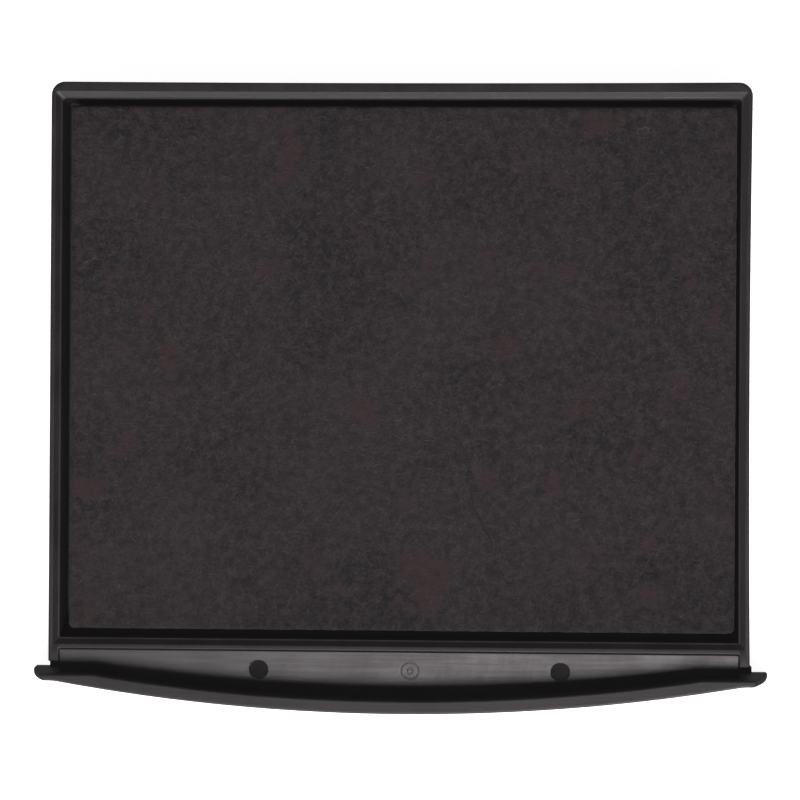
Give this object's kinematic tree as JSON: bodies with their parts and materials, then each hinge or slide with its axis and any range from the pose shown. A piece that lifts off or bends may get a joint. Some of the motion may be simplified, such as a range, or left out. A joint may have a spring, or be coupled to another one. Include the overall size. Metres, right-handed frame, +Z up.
{
  "type": "ink pad",
  "caption": "Slide-in ink pad cassette: shallow rimmed tray with a felt pad, and a curved pull grip with a finger trough at the front.",
  "frame": {"origin": "middle of the underside, on the surface the cassette stands on", "axes": "+X to the right, -Y towards the grip, +Z up out of the inking face"},
  "size_m": [0.0832, 0.07, 0.0098],
  "materials": {
    "tray_plastic": "black moulded plastic, satin gloss",
    "grip_plastic": "black moulded plastic, slightly duller than the tray",
    "adhesive_film": "thin double-sided adhesive film",
    "reservoir_felt": "dense wool-like felt, soaked with black ink",
    "inked_fleece": "fine needled fleece, dark warm grey with ink, matte"
  },
  "bodies": {
    "root": {"tray": "tray_plastic", "front_grip": "grip_plastic", "bonding_film": "adhesive_film", "felt_reservoir": "reservoir_felt", "inking_fleece": "inked_fleece"}
  },
  "joints": []
}
